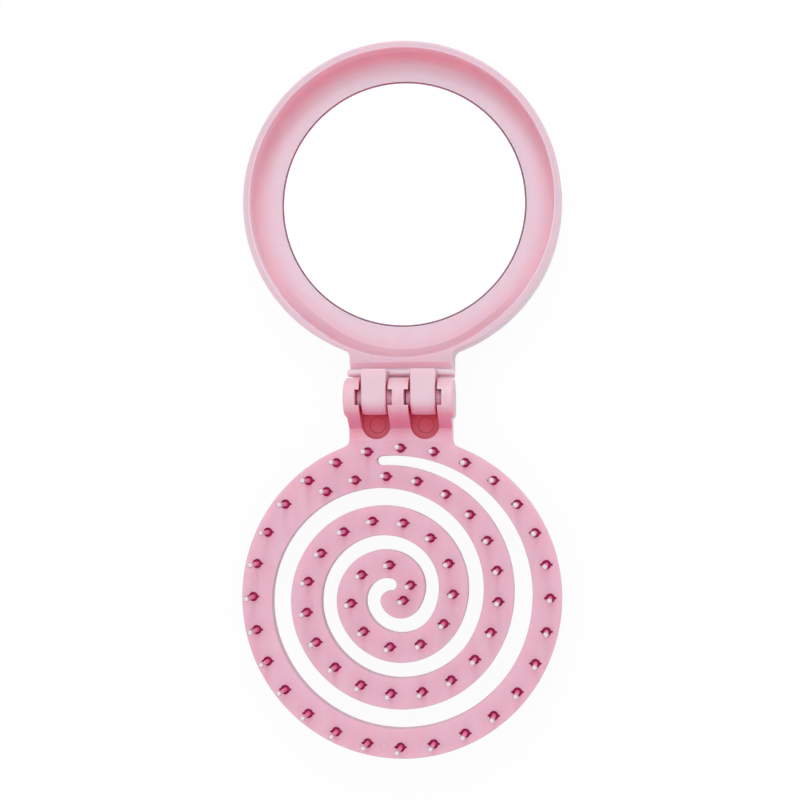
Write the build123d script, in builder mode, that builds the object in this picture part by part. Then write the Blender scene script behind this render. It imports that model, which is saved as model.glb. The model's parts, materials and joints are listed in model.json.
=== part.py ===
from build123d import *
import os
from math import atan2, cos, degrees, hypot, pi, radians, sin, tan

# Folding pocket hairbrush with a mirror in its lid, lying open on the back of the lid.
# X runs along the hinge, +Y from the hinge to the lid, +Z up, out of the mirror and the bristles.
# The origin is on the table, right under the middle of the hinge axis. All lengths are in mm.

# --- driving dimensions -------------------------------------------------------------------------
disc_radius = 40.0  # outside of the lid and of the brush disc
disc_stand_off = 9.5  # hinge axis to the near edge of either disc
closed_gap = 4.0  # between the lid's rim and the brush plate when folded shut

# lid and mirror
lid_floor = 1.6
adhesive_thickness = 0.25
glass_thickness = 1.8
glass_set_back = 0.15  # glass face below the ledge
dish_depth = 6.8  # rim down to the ledge
glass_clearance = 0.15  # round the edge of the glass
adhesive_inset = 2.5  # glass edge to adhesive edge
rim_wall = 1.75
rim_chamfer = 0.45
wall_draft = 0.15  # the dish narrows by this from the rim to the cove
cove_run = 3.7  # width of the cove between wall and ledge, seen from above
cove_drop = 2.2
ledge_width = 3.3  # flat ring between the cove and the seat of the mirror
cove_facets = 3  # the quarter ellipse of the cove, in flats
relief_shift = 5.0  # the dish reaches further at the hinge: its centre is moved this much
relief_reach = 1.0  # and its wall stands this much beyond the round dish
back_chamfer = 1.5

# brush disc
brush_thickness = 3.4
cover_thickness = 1.0
skirt = 0.7  # wall round the plate's edges, which the back cover sits inside
cover_clearance = 0.1

# spiral slot: the radii that its two edges hold through the lower part of each turn, with the disc's as 1
slot_outer_shares = [0.9375, 0.81375, 0.50125, 0.22125, -0.095]
slot_inner_shares = [0.925, 0.695, 0.40625, 0.13125, -0.315]
hold_ends = 200.0  # polar angle at which each turn starts to draw in, going clockwise
draw_in = 230.0  # degrees over which it does
slot_start_turn = 101.8  # degrees clockwise from hold_ends
slot_outer_end_turn = 1162.0
slot_inner_end_turn = 1130.0
slot_end_bulge = (-0.02575, 0.08)  # on the slot's round inner end, from the middle, with the radius as 1
edge_step = 15.0  # degrees from point to point of a spiral edge, two steps to an arc

# bristles
bristle_height = 9.5  # above the plate
bristle_root_radius = 0.78
bristle_neck_radius = 0.5
ball_radius = 0.75
ball_top_radius = 0.35
bristle_sides = 6  # of the bristles and of their holes
head_radius = 1.3
head_height = 0.85
head_clearance = 0.05  # between the heads and the plate above them
bristle_hole_radius = 1.25
ring_inset = 2.9  # edge of the disc to the middles of the outer ring of bristles
ring_count = 28
ring_start = 90.0  # polar angle of the bristle that is nearest to the hinge
spiral_pitch = 7.75
spiral_first_turn = 74.7
spiral_last_turn = 1180.0  # the arm's bristles stop here
walk_step = 0.25  # degrees per step when walking along the spiral

match = 0.01  # a corner or an edge this near to a line counts as on it

# hinge
neck_width = 25.8
neck_corner = 2.0
knuckle_radius = 5.0
knuckle_overhang = 0.75  # of the outer knuckles beyond the neck
knuckle_chamfer = 0.6
slope_angle = 35.0  # from upright, of the slope between plate and knuckles
arm_offset = 6.1  # middle of each lid arm from the middle of the hinge
arm_width = 6.2
arm_radius = 4.2
arm_back = 7.0  # rear face of the arms from the axis
arm_foot = 5.5  # height of the underside of the arms where they leave the neck
arm_chamfer = 0.4
side_gap = 0.5  # between arm and knuckle
trunnion_radius = 2.15
trunnion_clearance = 0.05
trunnion_length = 1.3
trunnion_end_gap = 0.3
snap_mouth = 3.9  # the slot above each bearing, narrower than the trunnion
neck_gap = 0.4  # between the knuckles and the end of the lid's neck
bead_radius = 0.95
bead_overhang = 0.6  # of the bead beyond the neck
bead_drop = 0.3  # top of the bead below the rim
bead_chamfer = 0.5
neck_slope_start = 9.0
neck_slope_end = 7.5
neck_slope_drop = 1.4
pocket_end = 6.6  # middle of the pocket's round end from the axis
pocket_floor_gap = 0.4  # below the arms when folded shut
pocket_open_from = 0.5  # the pocket has no floor nearer to the axis than this
pocket_mark_radius = 2.0
pocket_mark_depth = 0.25

# --- places that follow -------------------------------------------------------------------------
disc_reach = disc_radius + disc_stand_off
glass_bottom = lid_floor + adhesive_thickness
ledge_z = glass_bottom + glass_thickness + glass_set_back
rim_z = ledge_z + dish_depth
axis_z = rim_z + closed_gap / 2
plate_top = rim_z
plate_bottom = plate_top - brush_thickness
cover_top = plate_bottom + cover_thickness
plate_underside = cover_top + head_height + head_clearance
rim_inner_radius = disc_radius - rim_wall
relief_radius = rim_inner_radius + relief_reach - relief_shift
mirror_seat_radius = rim_inner_radius - wall_draft - cove_run - ledge_width
glass_radius = mirror_seat_radius - glass_clearance
slot_outer_radii = [disc_radius * share for share in slot_outer_shares]
slot_inner_radii = [disc_radius * share for share in slot_inner_shares]
ring_radius = disc_radius - ring_inset
hinge_width = neck_width + 2 * knuckle_overhang
bead_width = neck_width + 2 * bead_overhang
neck_end = knuckle_radius + neck_gap
pocket_floor = axis_z - arm_radius - pocket_floor_gap
slope_top = -knuckle_radius * cos(radians(slope_angle))
slope_top_z = axis_z + knuckle_radius * sin(radians(slope_angle))
slope_foot = slope_top - (slope_top_z - plate_top) * tan(radians(slope_angle))
pocket_width = arm_width + 2 * side_gap
bearing_depth = trunnion_length - side_gap + trunnion_end_gap
ball_z = plate_top + bristle_height - ball_radius
half_side = 180 / bristle_sides  # turns a flat of each bristle towards its neighbours
above_all = axis_z + 2 * knuckle_radius
lid_centre = (0, disc_reach)
brush_centre = (0, -disc_reach)
arm_places = (-arm_offset, arm_offset)

os.makedirs("parts", exist_ok=True)


# --- lid ----------------------------------------------------------------------------------------
def dish_profile(wall_radius):
    """Half section of a round dish with a cove between its wall and its ledge."""
    cove_radius = wall_radius - wall_draft
    ledge_radius = cove_radius - cove_run
    angles = [pi / 2 * n / cove_facets for n in range(cove_facets + 1)]
    cove = [(ledge_radius + cove_run * sin(a), ledge_z + cove_drop * (1 - cos(a))) for a in angles]
    with BuildSketch(Plane.XZ, mode=Mode.PRIVATE) as profile:
        Polygon(
            (0, ledge_z), *cove, (wall_radius, rim_z), (wall_radius, above_all), (0, above_all), align=None
        )
    return profile.sketch


round_dish = dish_profile(rim_inner_radius)
hinge_side_dish = dish_profile(relief_radius)

# arm with its trunnions, and bead along the end of the neck
with BuildPart() as arm:
    with BuildSketch(Plane.YZ.offset(-arm_width / 2)):
        with Locations((0, axis_z)):
            Circle(arm_radius)
        Polygon(
            (0, axis_z - arm_radius),
            (neck_end, arm_foot),
            (arm_back, arm_foot),
            (arm_back, axis_z + arm_radius),
            (0, axis_z + arm_radius),
            align=None,
        )
    extrude(amount=arm_width)
    chamfer([edge for side in faces().filter_by(Axis.X) for edge in side.edges()], arm_chamfer)
    with BuildSketch(Plane.YZ):
        with Locations((0, axis_z)):
            Circle(trunnion_radius)
    extrude(amount=arm_width / 2 + trunnion_length, both=True)

with BuildPart() as bead:
    with BuildSketch(Plane.YZ):
        with Locations((neck_end + bead_radius, rim_z - bead_drop - bead_radius)):
            Circle(bead_radius)
    extrude(amount=bead_width / 2, both=True)
    chamfer([edge for end in faces().filter_by(Axis.X) for edge in end.edges()], bead_chamfer)

with BuildPart() as lid_frame:
    # outline of dish and neck, with chamfered edges
    with BuildSketch():
        with Locations(lid_centre):
            Circle(disc_radius)
        with Locations((0, neck_end)):
            Rectangle(neck_width, disc_reach - neck_end, align=(Align.CENTER, Align.MIN))
        inner_corners = vertices().filter_by(lambda v: abs(hypot(v.X, v.Y - disc_reach) - disc_radius) < match)
        fillet(inner_corners, neck_corner)
    extrude(amount=rim_z)
    not_neck_end = lambda e: e.center().Y > neck_end + match
    chamfer(faces().sort_by(Axis.Z)[0].edges().filter_by(not_neck_end), back_chamfer)
    chamfer(faces().sort_by(Axis.Z)[-1].edges().filter_by(not_neck_end), rim_chamfer)
    # dish, and its reach towards the hinge
    for profile, centre in ((round_dish, disc_reach), (hinge_side_dish, disc_reach - relief_shift)):
        add(Pos(0, centre, 0) * revolve(profile, axis=Axis.Z, mode=Mode.PRIVATE), mode=Mode.SUBTRACT)
    # seat of the mirror
    with BuildSketch(Plane.XY.offset(lid_floor)):
        with Locations(lid_centre):
            Circle(mirror_seat_radius)
    extrude(amount=ledge_z - lid_floor, mode=Mode.SUBTRACT)
    # sloping end of the neck
    with BuildSketch(Plane.YZ):
        Polygon(
            (neck_slope_start, rim_z),
            (neck_slope_end, rim_z - neck_slope_drop),
            (0, rim_z - neck_slope_drop),
            (0, above_all),
            (neck_slope_start, above_all),
            align=None,
        )
    extrude(amount=neck_width, both=True, mode=Mode.SUBTRACT)
    add(bead.part)
    with Locations(*[(x, 0, 0) for x in arm_places]):
        add(arm.part)
lid_frame.part.label = "lid_frame"
export_step(lid_frame.part, "parts/lid_frame.step")

with BuildPart() as mirror_adhesive:
    with BuildSketch(Plane.XY.offset(lid_floor)):
        with Locations(lid_centre):
            Circle(glass_radius - adhesive_inset)
    extrude(amount=adhesive_thickness)
mirror_adhesive.part.label = "mirror_adhesive"
export_step(mirror_adhesive.part, "parts/mirror_adhesive.step")

with BuildPart() as mirror_glass:
    with BuildSketch(Plane.XY.offset(glass_bottom)):
        with Locations(lid_centre):
            Circle(glass_radius)
    extrude(amount=glass_thickness)
mirror_glass.part.label = "mirror_glass"
export_step(mirror_glass.part, "parts/mirror_glass.step")


# --- spiral -------------------------------------------------------------------------------------
def edge_radius(radii, turn):
    """Radius of a spiral edge, turn degrees clockwise from where it starts to draw in."""
    whole = min(int(turn // 360), len(radii) - 2)
    here = min(turn - 360 * whole, draw_in)
    left = (1 + cos(pi * here / draw_in)) / 2
    return radii[whole + 1] + (radii[whole] - radii[whole + 1]) * left


def on_disc(radius, turn):
    """A point by radius and turn, from the middle of the brush disc."""
    angle = radians(hold_ends - turn)
    return (radius * cos(angle), radius * sin(angle))


def turns_between(first, last):
    """An even number of equal steps from one turn to another."""
    steps = 2 * round((last - first) / (2 * edge_step))
    return [first + (last - first) * n / steps for n in range(steps + 1)]


def edge_points(radii, last_turn, out):
    """Points along an edge of the slot, moved outwards by out."""
    turns = turns_between(slot_start_turn, last_turn)
    return [on_disc(edge_radius(radii, turn) + out, turn) for turn in turns]


def arcs_through(points):
    """Arcs end to end, each through three of the points, in the open line."""
    for n in range(0, len(points) - 2, 2):
        ThreePointArc(*points[n : n + 3])


def spiral_slot(margin):
    """The spiral slot round the disc's middle, wider by margin on each side."""
    outer = edge_points(slot_outer_radii, slot_outer_end_turn, margin)
    inner = edge_points(slot_inner_radii, slot_inner_end_turn, -margin)
    middle_radius = (hypot(*outer[0]) + hypot(*inner[0])) / 2
    half_width = (hypot(*outer[0]) - hypot(*inner[0])) / 2
    start_cap = on_disc(middle_radius, slot_start_turn - half_width / middle_radius * 180 / pi)
    end_cap = (disc_radius * slot_end_bulge[0] + margin, disc_radius * slot_end_bulge[1])
    with BuildSketch(mode=Mode.PRIVATE) as slot:
        with BuildLine():
            arcs_through(outer)
            ThreePointArc(outer[-1], end_cap, inner[-1])
            arcs_through(inner)
            ThreePointArc(inner[0], start_cap, outer[0])
        make_face()
    return slot.sketch


def path_radius(turn):
    """Radius of the middle of the spiral arm."""
    return (edge_radius(slot_inner_radii, turn) + edge_radius(slot_outer_radii, turn + 360)) / 2


def bristle_path(turn):
    """A point on the middle of the spiral arm."""
    return on_disc(path_radius(turn), turn)


def bristle_turns():
    """Turns at which the bristles of the spiral arm stand, one pitch apart along it."""
    turn, walked, turns = spiral_first_turn, 0.0, [spiral_first_turn]
    while turn < spiral_last_turn:
        here, turn = bristle_path(turn), turn + walk_step
        there = bristle_path(turn)
        walked += hypot(there[0] - here[0], there[1] - here[1])
        if walked >= spiral_pitch:
            turns.append(turn)
            walked = 0.0
    return turns


spiral_turns = bristle_turns()
spiral_places = [bristle_path(turn) for turn in spiral_turns]
slot = spiral_slot(0)
slot_and_wall = spiral_slot(skirt)
cover_slot = spiral_slot(skirt + cover_clearance)

# --- brush --------------------------------------------------------------------------------------
with BuildPart() as brush_plate:
    # disc and neck in plan, with the spiral slot
    with BuildSketch(Plane.XY.offset(plate_bottom)):
        with Locations(brush_centre):
            Circle(disc_radius)
        with Locations((0, -knuckle_radius)):
            Rectangle(neck_width, disc_reach - knuckle_radius, align=(Align.CENTER, Align.MAX))
        inner_corners = vertices().filter_by(lambda v: abs(hypot(v.X, v.Y + disc_reach) - disc_radius) < match)
        fillet(inner_corners, neck_corner)
        with Locations(brush_centre):
            add(slot, mode=Mode.SUBTRACT)
    extrude(amount=brush_thickness)
    # slope up to the knuckles, which it meets at a tangent
    with BuildSketch(Plane.YZ):
        Polygon((slope_foot, plate_top), (slope_top, slope_top_z), (0, axis_z), (0, plate_top), align=None)
    extrude(amount=neck_width / 2, both=True)
    # knuckles, still as one barrel
    with BuildSketch(Plane.YZ):
        with Locations((0, axis_z)):
            Circle(knuckle_radius)
        with Locations((0, axis_z)):
            Rectangle(knuckle_radius, axis_z - plate_bottom, align=(Align.MAX, Align.MAX))
    extrude(amount=hinge_width / 2, both=True)
    barrel_ends = faces().filter_by(Axis.X).group_by(Axis.X)
    chamfer([e for group in (barrel_ends[0], barrel_ends[-1]) for e in group.edges()], knuckle_chamfer)
    # pockets that take the arms when folded shut, open at the front of the barrel
    for x in arm_places:
        with BuildSketch(Plane.XY.offset(pocket_floor)):
            with Locations((x, -pocket_end)):
                Circle(pocket_width / 2)
                Rectangle(pocket_width, pocket_end + 2 * knuckle_radius, align=(Align.CENTER, Align.MIN))
        extrude(amount=above_all, mode=Mode.SUBTRACT)
        with BuildSketch(Plane.XY.offset(pocket_floor - pocket_mark_depth)):
            with Locations((x, -pocket_end)):
                Circle(pocket_mark_radius)
        extrude(amount=pocket_mark_depth, mode=Mode.SUBTRACT)
        with BuildSketch(Plane.XY):
            with Locations((x, -pocket_open_from)):
                Rectangle(pocket_width, 2 * knuckle_radius, align=(Align.CENTER, Align.MIN))
        extrude(amount=above_all, mode=Mode.SUBTRACT)
        # bearings of the trunnions, with their narrower mouths
        bearing_reach = pocket_width / 2 + bearing_depth
        with BuildSketch(Plane.YZ.offset(x)):
            with Locations((0, axis_z)):
                Circle(trunnion_radius + trunnion_clearance)
                Rectangle(snap_mouth, above_all, align=(Align.CENTER, Align.MIN))
        extrude(amount=bearing_reach, both=True, mode=Mode.SUBTRACT)
    # hollow underside, which the bristle heads and the back cover sit in
    with BuildSketch(Plane.XY.offset(plate_bottom)):
        with Locations(brush_centre):
            Circle(disc_radius - skirt)
            add(slot_and_wall, mode=Mode.SUBTRACT)
    extrude(amount=plate_underside - plate_bottom, mode=Mode.SUBTRACT)
    # bristle holes
    with BuildSketch(Plane.XY.offset(plate_underside)):
        with Locations(brush_centre):
            with PolarLocations(ring_radius, ring_count, start_angle=ring_start):
                RegularPolygon(bristle_hole_radius, bristle_sides, rotation=half_side)
            with Locations(*spiral_places):
                RegularPolygon(bristle_hole_radius, bristle_sides, rotation=half_side)
    extrude(amount=plate_top - plate_underside, mode=Mode.SUBTRACT)
brush_plate.part.label = "brush_plate"
export_step(brush_plate.part, "parts/brush_plate.step")

with BuildPart() as back_cover:
    with BuildSketch(Plane.XY.offset(plate_bottom)):
        with Locations(brush_centre):
            Circle(disc_radius - skirt - cover_clearance)
            add(cover_slot, mode=Mode.SUBTRACT)
    extrude(amount=cover_thickness)
back_cover.part.label = "back_cover"
export_step(back_cover.part, "parts/back_cover.step")

# --- bristles -----------------------------------------------------------------------------------
with BuildPart() as bristle:
    with BuildSketch(Plane.XY.offset(cover_top)):
        RegularPolygon(head_radius, bristle_sides, rotation=half_side)
    extrude(amount=head_height)
    # stem, lower and upper half of the ball, each from its wide end to its narrow end
    for wide_z, wide_radius, narrow_z, narrow_radius in (
        (cover_top + head_height, bristle_root_radius, ball_z, bristle_neck_radius),
        (ball_z, ball_radius, ball_z - ball_radius, bristle_neck_radius),
        (ball_z, ball_radius, ball_z + ball_radius, ball_top_radius),
    ):
        with BuildSketch(Plane.XY.offset(wide_z)):
            RegularPolygon(wide_radius, bristle_sides, rotation=half_side)
        lean = (wide_radius - narrow_radius) * cos(radians(half_side))
        extrude(amount=narrow_z - wide_z, taper=degrees(atan2(lean, abs(narrow_z - wide_z))))

with BuildPart() as bristles_ring:
    with Locations(brush_centre):
        with PolarLocations(ring_radius, ring_count, start_angle=ring_start):
            add(bristle.part)
bristles_ring.part.label = "bristles_ring"
export_step(bristles_ring.part, "parts/bristles_ring.step")

turn_ends = (spiral_first_turn + 360, spiral_first_turn + 720)
first_turn = [bristle_path(t) for t in spiral_turns if t < turn_ends[0]]
second_turn = [bristle_path(t) for t in spiral_turns if turn_ends[0] <= t < turn_ends[1]]
core_turn = [bristle_path(t) for t in spiral_turns if t >= turn_ends[1]]

with BuildPart() as bristles_first_turn:
    with Locations(brush_centre):
        with Locations(*first_turn):
            add(bristle.part)
bristles_first_turn.part.label = "bristles_first_turn"
export_step(bristles_first_turn.part, "parts/bristles_first_turn.step")

with BuildPart() as bristles_second_turn:
    with Locations(brush_centre):
        with Locations(*second_turn):
            add(bristle.part)
bristles_second_turn.part.label = "bristles_second_turn"
export_step(bristles_second_turn.part, "parts/bristles_second_turn.step")

with BuildPart() as bristles_core:
    with Locations(brush_centre):
        with Locations(*core_turn):
            add(bristle.part)
bristles_core.part.label = "bristles_core"
export_step(bristles_core.part, "parts/bristles_core.step")
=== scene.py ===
import bpy
import bmesh
import json
from math import asin, atan2, cos, degrees, pi, radians, sin, sqrt
from mathutils import Matrix, Vector


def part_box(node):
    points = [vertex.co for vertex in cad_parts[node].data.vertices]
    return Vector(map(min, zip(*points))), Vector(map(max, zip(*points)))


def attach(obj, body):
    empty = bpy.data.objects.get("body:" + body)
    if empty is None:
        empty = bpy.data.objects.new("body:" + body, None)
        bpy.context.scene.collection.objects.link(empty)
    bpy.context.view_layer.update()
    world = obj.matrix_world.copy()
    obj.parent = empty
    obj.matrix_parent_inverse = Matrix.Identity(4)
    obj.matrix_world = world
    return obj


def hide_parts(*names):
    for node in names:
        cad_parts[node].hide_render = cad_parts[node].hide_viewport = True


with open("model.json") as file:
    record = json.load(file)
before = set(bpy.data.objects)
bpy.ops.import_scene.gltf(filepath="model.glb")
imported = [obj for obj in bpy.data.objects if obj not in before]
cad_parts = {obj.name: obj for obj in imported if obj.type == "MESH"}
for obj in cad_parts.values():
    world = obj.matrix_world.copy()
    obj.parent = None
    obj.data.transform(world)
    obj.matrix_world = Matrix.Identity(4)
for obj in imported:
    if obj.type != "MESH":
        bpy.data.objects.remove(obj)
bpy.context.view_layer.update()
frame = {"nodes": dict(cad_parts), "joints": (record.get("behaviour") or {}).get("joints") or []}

# Folding pocket hairbrush with a mirror in its lid, lying open. Sizes are in millimetres and are
# turned into metres where a mesh is made. Discs are drawn about their own middle.
mm = 0.001
tiny = 1e-6  # in millimetres, closer than any two places that differ
weld = 1e-7  # in metres, closer than any two corners that differ
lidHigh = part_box("lid_frame")[1] / mm
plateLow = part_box("brush_plate")[0] / mm
coverLow, coverHigh = [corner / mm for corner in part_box("back_cover")]
glassLow, glassHigh = [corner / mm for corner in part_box("mirror_glass")]
ringLow, ringHigh = [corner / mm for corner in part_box("bristles_ring")]
discRadius = lidHigh.x
lidMiddle = Vector((0, lidHigh.y - discRadius, 0))
brushMiddle = Vector((0, plateLow.y + discRadius, 0))
hingeAxis = Vector(frame["joints"][0]["pos_m"]) / mm


# making meshes
alongZ = Matrix.Identity(3)
alongX = Matrix(((0, 0, 1), (1, 0, 0), (0, 1, 0)))  # drawn in Y and Z, raised along X


def signedArea(points):
    pairs = zip(points, points[1:] + points[:1])
    return sum(a.x * b.y - b.x * a.y for a, b in pairs) / 2


def turnedFor(points, hole):
    # the same closed line, run round to the left, or to the right if it's a hole
    return points if (signedArea(points) > 0) != hole else points[::-1]


def outward(points):
    # for each point of a closed line, the direction square to it and to the right of its course
    result = []
    for n, here in enumerate(points):
        before = (here - points[n - 1]).normalized()
        after = (points[(n + 1) % len(points)] - here).normalized()
        side = Vector((before.y + after.y, -before.x - after.x))
        middle = side.normalized() if side.length > tiny else Vector((before.y, -before.x))
        # sharp corners reach at most twice as far
        result.append(middle / max(0.5, middle.dot(Vector((before.y, -before.x)))))
    return result


def addLoop(bm, points, height, middle, axes=alongZ):
    return [bm.verts.new((axes @ Vector((p.x, p.y, height)) + middle) * mm) for p in points]


def joinLoops(bm, lower, upper, closed=True):
    for n in range(0 if closed else 1, len(lower)):
        bm.faces.new((lower[n - 1], lower[n], upper[n], upper[n - 1]))


def edgesAlong(bm, line, closed=True):
    pairs = [(line[n - 1], line[n]) for n in range(0 if closed else 1, len(line))]
    return [bm.edges.get(pair) or bm.edges.new(pair) for pair in pairs]


def fillEdges(bm, edges):
    bmesh.ops.triangle_fill(bm, use_beauty=True, edges=edges)


def fillBetween(bm, loops):
    fillEdges(bm, [edge for loop in loops for edge in edgesAlong(bm, loop)])


def quarterTurn(steps):
    return [pi / 2 * n / steps for n in range(steps + 1)]


def roundSteps(low, high, roundLow, roundHigh, steps=4):
    # insets and heights of a wall whose lower and upper edges are rounded
    angles = quarterTurn(steps)
    wall = [(roundLow * (1 - sin(a)), low + roundLow * (1 - cos(a))) for a in angles]
    wall += [(roundHigh * (1 - cos(a)), high - roundHigh * (1 - sin(a))) for a in angles]
    return wall


def addWall(bm, points, steps, axes=alongZ, middle=Vector(), closed=True):
    # one ring of faces between each two steps; the ends of an open wall keep their Y
    sides = outward(points)
    if not closed:
        for n, neighbour in ((0, points[1] - points[0]), (-1, points[-1] - points[-2])):
            sides[n] = Vector((neighbour.length / neighbour.y, 0))
    loops = [addLoop(bm, [p - side * inset for p, side in zip(points, sides)], height, middle, axes)
             for inset, height in steps]
    for lower, upper in zip(loops, loops[1:]):
        joinLoops(bm, lower, upper, closed)
    return loops


def addSlab(bm, outlines, low, high, rounding, axes=alongZ, middle=Vector()):
    # a plate between two heights: the first outline is its edge, and the others are holes
    steps = roundSteps(low, high, rounding, rounding)
    walls = [addWall(bm, turnedFor(points, n > 0), steps, axes, middle) for n, points in enumerate(outlines)]
    fillBetween(bm, [wall[0] for wall in walls])
    fillBetween(bm, [wall[-1] for wall in walls])


def circle(radius, count, middle=(0, 0), start=0.0):
    angles = [start + 2 * pi * n / count for n in range(count)]
    return [Vector((middle[0] + radius * cos(a), middle[1] + radius * sin(a))) for a in angles]


def arc(middle, radius, first, last, count):
    angles = [radians(first + (last - first) * n / count) for n in range(count + 1)]
    return [Vector((middle[0] + radius * cos(a), middle[1] + radius * sin(a))) for a in angles]


def linkObject(name, data):
    thing = bpy.data.objects.new(name, data)
    bpy.context.scene.collection.objects.link(thing)
    return thing


def meshOf(name, bm):
    # a closed mesh of what was drawn, with its normals turned outward
    bmesh.ops.remove_doubles(bm, verts=bm.verts, dist=weld)
    bmesh.ops.recalc_face_normals(bm, faces=bm.faces)
    mesh = bpy.data.meshes.new(name)
    bm.to_mesh(mesh)
    bm.free()
    return mesh


def appliedMesh(holder):
    # the plain mesh that a passing object's modifiers make
    bpy.context.view_layer.update()
    shaped = bpy.data.meshes.new_from_object(holder.evaluated_get(bpy.context.evaluated_depsgraph_get()))
    bpy.data.objects.remove(holder)
    return shaped


def cutAcross(bm, y, direction=1, **settings):
    # a row of edges straight across, where Y has this value
    everything = bm.verts[:] + bm.edges[:] + bm.faces[:]
    place, normal = Vector((0, y * mm, 0)), Vector((0, direction, 0))
    bmesh.ops.bisect_plane(bm, geom=everything, dist=weld, plane_co=place, plane_no=normal, **settings)


def makePiece(name, mesh, materials, body, nodes=(), sharpAngle=35):
    piece = linkObject(name, mesh)
    for material in materials:
        mesh.materials.append(material)
    mesh.shade_smooth()
    mesh.set_sharp_from_angle(angle=radians(sharpAngle))
    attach(piece, body)
    if nodes:
        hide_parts(*nodes)


# shader groups
def feed(tree, node, feeds):
    # each input is fed by a socket, or set to a value
    for name, value in feeds.items():
        if isinstance(value, bpy.types.NodeSocket):
            tree.links.new(value, node.inputs[name])
        else:
            node.inputs[name].default_value = value


def addNode(tree, kind, place, feeds=None, **settings):
    node = tree.nodes.new(kind)
    node.location = place
    for key, value in settings.items():
        setattr(node, key, value)
    feed(tree, node, feeds or {})
    return node


def addMath(tree, operation, place, *values, clamp=False):
    feeds = dict(enumerate(values))
    return addNode(tree, "ShaderNodeMath", place, feeds, operation=operation, use_clamp=clamp).outputs[0]


def addVectorMath(tree, operation, place, *values):
    return addNode(tree, "ShaderNodeVectorMath", place, dict(enumerate(values)), operation=operation).outputs


def newGroup(name, treeKind, inputs, outputs):
    # a node group: its inputs are given as name, kind and value, and its outputs as name and kind
    group = bpy.data.node_groups.new(name, treeKind)
    for title, kind, *value in inputs:
        socket = group.interface.new_socket(title, in_out="INPUT", socket_type="NodeSocket" + kind)
        if value:
            socket.default_value = value[0]
    for title, kind in outputs:
        group.interface.new_socket(title, in_out="OUTPUT", socket_type="NodeSocket" + kind)
    return group


def newMaterial(name):
    material = bpy.data.materials.new(name)
    material.use_nodes = True
    return material, material.node_tree, material.node_tree.nodes["Principled BSDF"]


def objectPlace(tree):
    return addNode(tree, "ShaderNodeTexCoord", (-1300, 0)).outputs["Object"]


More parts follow.
